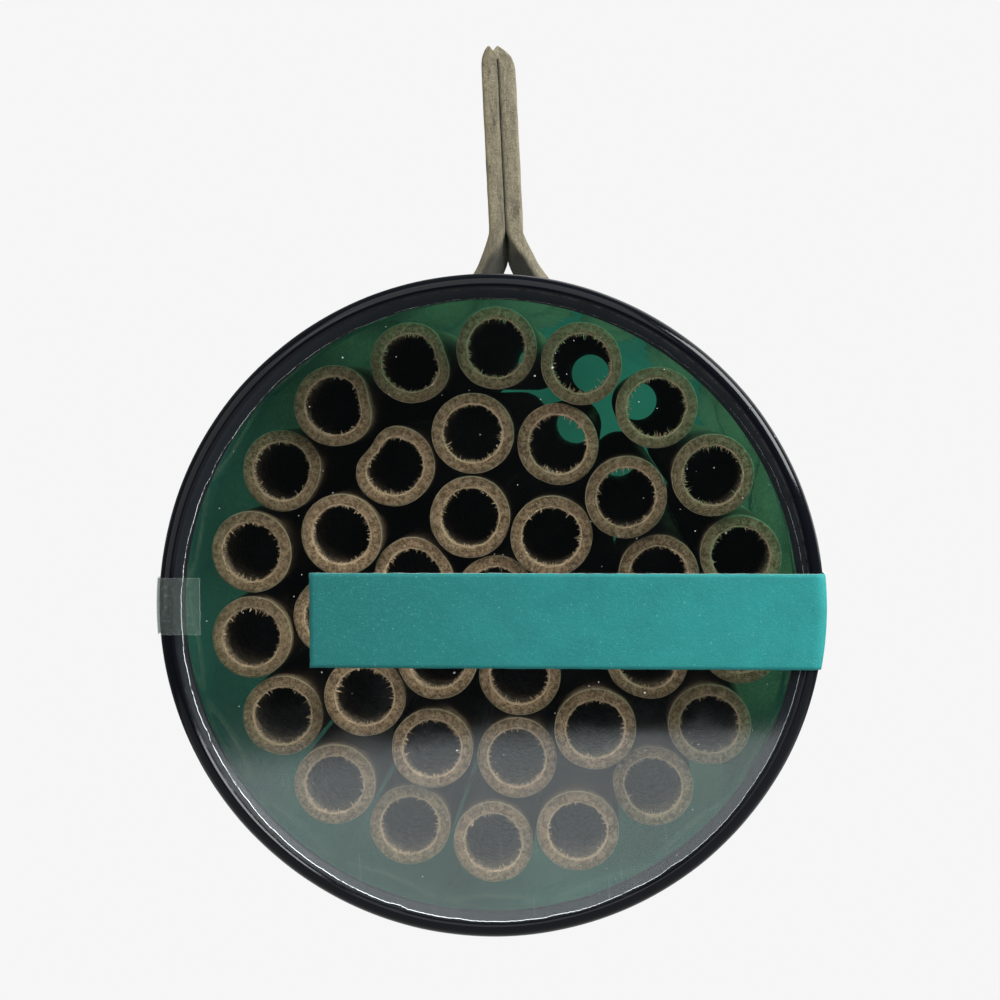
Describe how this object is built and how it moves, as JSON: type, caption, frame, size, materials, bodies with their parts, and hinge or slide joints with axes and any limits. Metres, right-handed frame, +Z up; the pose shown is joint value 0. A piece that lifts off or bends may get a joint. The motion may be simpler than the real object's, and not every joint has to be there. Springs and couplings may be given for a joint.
{
  "type": "insect hotel",
  "caption": "Green glass bottle body lying on its side, packed with paper nest tubes for solitary bees, with a black rim trim, a clear front cover and a lace to hang it by.",
  "frame": {"origin": "where the nail holds the hanging lace, at the inside of its top fold, straight above the bottle's axis and at its balance point", "axes": "+Z up, -Y out of the bottle's mouth towards the viewer, +X to the viewer's right"},
  "size_m": [0.0886, 0.1729, 0.1317],
  "materials": {
    "green_glass": "clear emerald bottle glass, glossy",
    "black_trim": "glossy black soft vinyl channel",
    "clear_acetate": "thin clear film, glossy, with a rough white cut edge",
    "teal_paper": "matt teal label paper",
    "clear_tape": "clear adhesive tape, satin",
    "suede_lace": "grey-tan suede, matt and flecked",
    "kraft_paper": "brown wound kraft paper, matt, with fuzzy cut ends"
  },
  "bodies": {
    "bottle": {"bottle_body": "green_glass", "rim_trim": "black_trim", "hanging_lace": "suede_lace"},
    "cover": {"clear_cover": "clear_acetate", "paper_band": "teal_paper", "clear_tape": "clear_tape"},
    "tube_centre": {"nest_tube_centre": "kraft_paper"},
    "tube_inner_1": {"nest_tube_inner_1": "kraft_paper"},
    "tube_inner_2": {"nest_tube_inner_2": "kraft_paper"},
    "tube_inner_3": {"nest_tube_inner_3": "kraft_paper"},
    "tube_inner_4": {"nest_tube_inner_4": "kraft_paper"},
    "tube_inner_5": {"nest_tube_inner_5": "kraft_paper"},
    "tube_inner_6": {"nest_tube_inner_6": "kraft_paper"},
    "tube_middle_01": {"nest_tube_middle_01": "kraft_paper"},
    "tube_middle_02": {"nest_tube_middle_02": "kraft_paper"},
    "tube_middle_03": {"nest_tube_middle_03": "kraft_paper"},
    "tube_middle_04": {"nest_tube_middle_04": "kraft_paper"},
    "tube_middle_05": {"nest_tube_middle_05": "kraft_paper"},
    "tube_middle_06": {"nest_tube_middle_06": "kraft_paper"},
    "tube_middle_07": {"nest_tube_middle_07": "kraft_paper"},
    "tube_middle_08": {"nest_tube_middle_08": "kraft_paper"},
    "tube_middle_09": {"nest_tube_middle_09": "kraft_paper"},
    "tube_middle_10": {"nest_tube_middle_10": "kraft_paper"},
    "tube_middle_11": {"nest_tube_middle_11": "kraft_paper"},
    "tube_middle_12": {"nest_tube_middle_12": "kraft_paper"},
    "tube_outer_01": {"nest_tube_outer_01": "kraft_paper"},
    "tube_outer_02": {"nest_tube_outer_02": "kraft_paper"},
    "tube_outer_03": {"nest_tube_outer_03": "kraft_paper"},
    "tube_outer_04": {"nest_tube_outer_04": "kraft_paper"},
    "tube_outer_05": {"nest_tube_outer_05": "kraft_paper"},
    "tube_outer_06": {"nest_tube_outer_06": "kraft_paper"},
    "tube_outer_07": {"nest_tube_outer_07": "kraft_paper"},
    "tube_outer_08": {"nest_tube_outer_08": "kraft_paper"},
    "tube_outer_09": {"nest_tube_outer_09": "kraft_paper"},
    "tube_outer_10": {"nest_tube_outer_10": "kraft_paper"},
    "tube_outer_11": {"nest_tube_outer_11": "kraft_paper"},
    "tube_outer_12": {"nest_tube_outer_12": "kraft_paper"},
    "tube_outer_13": {"nest_tube_outer_13": "kraft_paper"},
    "tube_outer_14": {"nest_tube_outer_14": "kraft_paper"},
    "tube_outer_15": {"nest_tube_outer_15": "kraft_paper"},
    "tube_outer_16": {"nest_tube_outer_16": "kraft_paper"},
    "tube_outer_17": {"nest_tube_outer_17": "kraft_paper"},
    "tube_outer_18": {"nest_tube_outer_18": "kraft_paper"}
  },
  "joints": [
    {"name": "cover_pull", "type": "slide", "parent": "bottle", "child": "cover", "axis": [0, -1, 0], "range_m": [0, 0.22]},
    {"name": "tube_centre_slide", "type": "slide", "parent": "bottle", "child": "tube_centre", "axis": [0, -1, 0], "range_m": [0, 0.012]},
    {"name": "tube_inner_1_slide", "type": "slide", "parent": "bottle", "child": "tube_inner_1", "axis": [0, -1, 0], "range_m": [0, 0.012]},
    {"name": "tube_inner_2_slide", "type": "slide", "parent": "bottle", "child": "tube_inner_2", "axis": [0, -1, 0], "range_m": [0, 0.012]},
    {"name": "tube_inner_3_slide", "type": "slide", "parent": "bottle", "child": "tube_inner_3", "axis": [0, -1, 0], "range_m": [0, 0.012]},
    {"name": "tube_inner_4_slide", "type": "slide", "parent": "bottle", "child": "tube_inner_4", "axis": [0, -1, 0], "range_m": [0, 0.012]},
    {"name": "tube_inner_5_slide", "type": "slide", "parent": "bottle", "child": "tube_inner_5", "axis": [0, -1, 0], "range_m": [0, 0.012]},
    {"name": "tube_inner_6_slide", "type": "slide", "parent": "bottle", "child": "tube_inner_6", "axis": [0, -1, 0], "range_m": [0, 0.012]},
    {"name": "tube_middle_01_slide", "type": "slide", "parent": "bottle", "child": "tube_middle_01", "axis": [0, -1, 0], "range_m": [0, 0.012]},
    {"name": "tube_middle_02_slide", "type": "slide", "parent": "bottle", "child": "tube_middle_02", "axis": [0, -1, 0], "range_m": [0, 0.012]},
    {"name": "tube_middle_03_slide", "type": "slide", "parent": "bottle", "child": "tube_middle_03", "axis": [0, -1, 0], "range_m": [0, 0.012]},
    {"name": "tube_middle_04_slide", "type": "slide", "parent": "bottle", "child": "tube_middle_04", "axis": [0, -1, 0], "range_m": [0, 0.012]},
    {"name": "tube_middle_05_slide", "type": "slide", "parent": "bottle", "child": "tube_middle_05", "axis": [0, -1, 0], "range_m": [0, 0.012]},
    {"name": "tube_middle_06_slide", "type": "slide", "parent": "bottle", "child": "tube_middle_06", "axis": [0, -1, 0], "range_m": [0, 0.012]},
    {"name": "tube_middle_07_slide", "type": "slide", "parent": "bottle", "child": "tube_middle_07", "axis": [0, -1, 0], "range_m": [0, 0.012]},
    {"name": "tube_middle_08_slide", "type": "slide", "parent": "bottle", "child": "tube_middle_08", "axis": [0, -1, 0], "range_m": [0, 0.012]},
    {"name": "tube_middle_09_slide", "type": "slide", "parent": "bottle", "child": "tube_middle_09", "axis": [0, -1, 0], "range_m": [0, 0.012]},
    {"name": "tube_middle_10_slide", "type": "slide", "parent": "bottle", "child": "tube_middle_10", "axis": [0, -1, 0], "range_m": [0, 0.012]},
    {"name": "tube_middle_11_slide", "type": "slide", "parent": "bottle", "child": "tube_middle_11", "axis": [0, -1, 0], "range_m": [0, 0.012]},
    {"name": "tube_middle_12_slide", "type": "slide", "parent": "bottle", "child": "tube_middle_12", "axis": [0, -1, 0], "range_m": [0, 0.012]},
    {"name": "tube_outer_01_slide", "type": "slide", "parent": "bottle", "child": "tube_outer_01", "axis": [0, -1, 0], "range_m": [0, 0.012]},
    {"name": "tube_outer_02_slide", "type": "slide", "parent": "bottle", "child": "tube_outer_02", "axis": [0, -1, 0], "range_m": [0, 0.012]},
    {"name": "tube_outer_03_slide", "type": "slide", "parent": "bottle", "child": "tube_outer_03", "axis": [0, -1, 0], "range_m": [0, 0.012]},
    {"name": "tube_outer_04_slide", "type": "slide", "parent": "bottle", "child": "tube_outer_04", "axis": [0, -1, 0], "range_m": [0, 0.012]},
    {"name": "tube_outer_05_slide", "type": "slide", "parent": "bottle", "child": "tube_outer_05", "axis": [0, -1, 0], "range_m": [0, 0.012]},
    {"name": "tube_outer_06_slide", "type": "slide", "parent": "bottle", "child": "tube_outer_06", "axis": [0, -1, 0], "range_m": [0, 0.012]},
    {"name": "tube_outer_07_slide", "type": "slide", "parent": "bottle", "child": "tube_outer_07", "axis": [0, -1, 0], "range_m": [0, 0.012]},
    {"name": "tube_outer_08_slide", "type": "slide", "parent": "bottle", "child": "tube_outer_08", "axis": [0, -1, 0], "range_m": [0, 0.012]},
    {"name": "tube_outer_09_slide", "type": "slide", "parent": "bottle", "child": "tube_outer_09", "axis": [0, -1, 0], "range_m": [0, 0.012]},
    {"name": "tube_outer_10_slide", "type": "slide", "parent": "bottle", "child": "tube_outer_10", "axis": [0, -1, 0], "range_m": [0, 0.012]},
    {"name": "tube_outer_11_slide", "type": "slide", "parent": "bottle", "child": "tube_outer_11", "axis": [0, -1, 0], "range_m": [0, 0.012]},
    {"name": "tube_outer_12_slide", "type": "slide", "parent": "bottle", "child": "tube_outer_12", "axis": [0, -1, 0], "range_m": [0, 0.012]},
    {"name": "tube_outer_13_slide", "type": "slide", "parent": "bottle", "child": "tube_outer_13", "axis": [0, -1, 0], "range_m": [0, 0.012]},
    {"name": "tube_outer_14_slide", "type": "slide", "parent": "bottle", "child": "tube_outer_14", "axis": [0, -1, 0], "range_m": [0, 0.012]},
    {"name": "tube_outer_15_slide", "type": "slide", "parent": "bottle", "child": "tube_outer_15", "axis": [0, -1, 0], "range_m": [0, 0.012]},
    {"name": "tube_outer_16_slide", "type": "slide", "parent": "bottle", "child": "tube_outer_16", "axis": [0, -1, 0], "range_m": [0, 0.012]},
    {"name": "tube_outer_17_slide", "type": "slide", "parent": "bottle", "child": "tube_outer_17", "axis": [0, -1, 0], "range_m": [0, 0.012]},
    {"name": "tube_outer_18_slide", "type": "slide", "parent": "bottle", "child": "tube_outer_18", "axis": [0, -1, 0], "range_m": [0, 0.012]}
  ]
}
